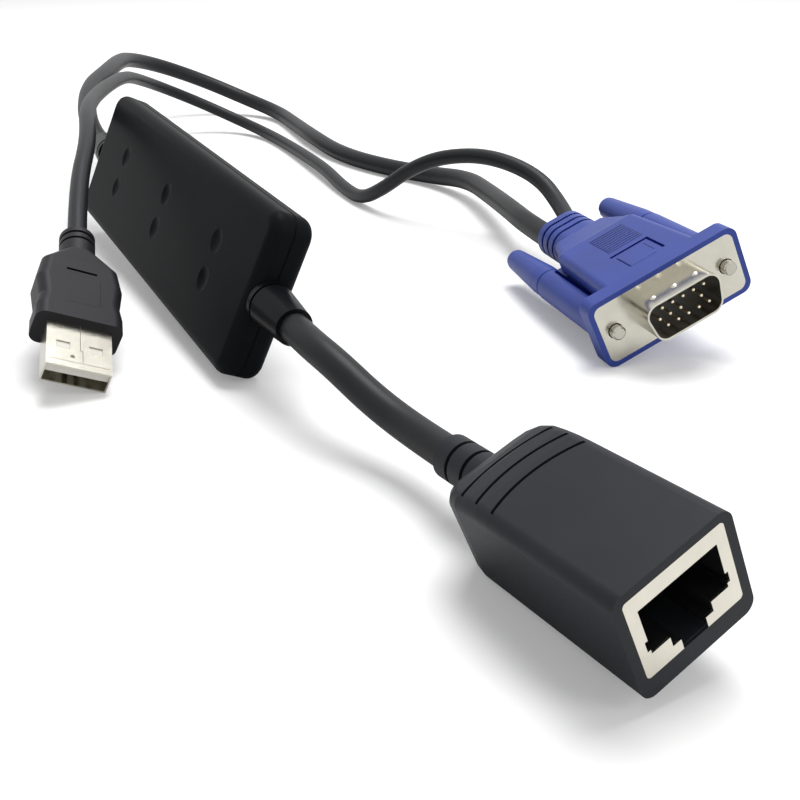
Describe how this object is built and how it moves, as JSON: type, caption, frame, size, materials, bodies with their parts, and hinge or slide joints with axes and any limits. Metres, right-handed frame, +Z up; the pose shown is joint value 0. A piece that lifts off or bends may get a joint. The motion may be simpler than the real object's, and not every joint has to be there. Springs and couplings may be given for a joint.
{
  "type": "kvm dongle",
  "caption": "Flat two-shell keyboard-video-mouse dongle with a network socket, a blue video plug with thumbscrews, and a USB plug on stiff moulded cords.",
  "frame": {"origin": "centre of the box's footprint, on the surface that the dongle stands on", "axes": "+Z up, +X along the box towards its network end, +Y from the dimpled front face towards the rear"},
  "size_m": [0.3704, 0.1439, 0.036],
  "materials": {
    "case_plastic": "fine spark texture, satin",
    "boot_vinyl": "smooth, slightly shiny flexible vinyl",
    "cord_jacket": "matt extruded vinyl jacket",
    "socket_vinyl": "moulded flexible vinyl, satin",
    "plug_vinyl": "moulded flexible vinyl, satin",
    "blue_vinyl": "moulded blue vinyl, satin",
    "nickel_plate": "bright nickel plate on formed sheet",
    "steel_screw": "nickel-plated turned steel",
    "gold_contact": "thin gold plate",
    "black_insulator": "moulded insulator",
    "white_filler": "plain inner moulding",
    "circuit_laminate": "solder mask on glass laminate",
    "chip_epoxy": "moulded epoxy",
    "bare_can": "drawn can",
    "header_nylon": "moulded nylon"
  },
  "bodies": {
    "dongle": {"front_shell": "case_plastic", "rear_shell": "case_plastic", "circuit_board": "circuit_laminate", "main_chip": "chip_epoxy", "interface_chip": "chip_epoxy", "crystal": "bare_can", "network_header": "header_nylon", "video_header": "header_nylon", "capacitors": "bare_can", "near_boot": "boot_vinyl", "far_boot": "boot_vinyl", "network_cord": "cord_jacket", "video_cord": "cord_jacket", "usb_cord": "cord_jacket", "socket_housing": "socket_vinyl", "jack_shield": "nickel_plate", "jack_insert": "black_insulator", "jack_contacts": "gold_contact", "socket_inner_mould": "white_filler", "video_hood": "blue_vinyl", "flange_shell": "nickel_plate", "rear_flange": "nickel_plate", "pin_block": "black_insulator", "video_pins": "gold_contact", "video_inner_mould": "white_filler", "usb_overmould": "plug_vinyl", "usb_shell": "nickel_plate", "usb_tongue_block": "white_filler", "usb_contacts": "gold_contact", "usb_inner_mould": "white_filler"},
    "left_thumbscrew": {"left_screw": "steel_screw", "left_knob": "blue_vinyl"},
    "right_thumbscrew": {"right_screw": "steel_screw", "right_knob": "blue_vinyl"}
  },
  "joints": [
    {"name": "left_thumbscrew_turn", "type": "hinge", "parent": "dongle", "child": "left_thumbscrew", "pos_m": [0.0524, 0.06663, 0.00677], "axis": [0.9798, -0.1974, 0.0318], "continuous": true},
    {"name": "right_thumbscrew_turn", "type": "hinge", "parent": "dongle", "child": "right_thumbscrew", "pos_m": [0.05653, 0.08885, 0.01744], "axis": [0.9798, -0.1974, 0.0318], "continuous": true}
  ]
}
